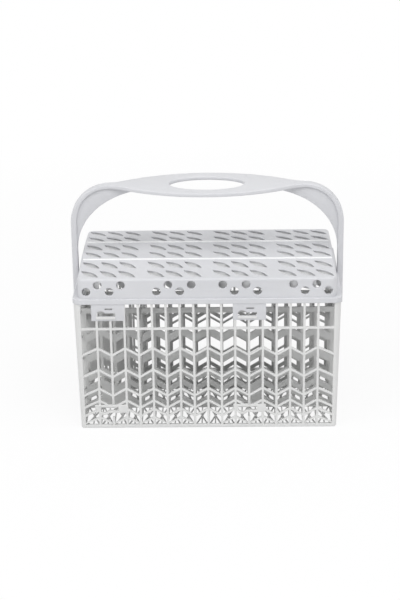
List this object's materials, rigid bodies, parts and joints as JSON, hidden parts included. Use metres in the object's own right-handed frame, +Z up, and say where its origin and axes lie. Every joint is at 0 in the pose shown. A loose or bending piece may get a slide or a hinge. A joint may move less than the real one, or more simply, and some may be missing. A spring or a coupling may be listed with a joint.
{
  "type": "dishwasher cutlery basket",
  "caption": "Rectangular plastic cutlery basket with open zigzag lattice walls, a slotted lid and an upright carrying handle with an oval hand hole, for a dishwasher.",
  "frame": {"origin": "centre of the basket's footprint, on the surface it stands on", "axes": "+X along the basket's length, +Y from the front wall with the hook pockets to the back wall, +Z up"},
  "size_m": [0.249, 0.141, 0.2129],
  "materials": {
    "grey_plastic": "satin"
  },
  "bodies": {
    "root": {"basket_body": "grey_plastic", "lid": "grey_plastic", "handle": "grey_plastic"}
  },
  "joints": []
}
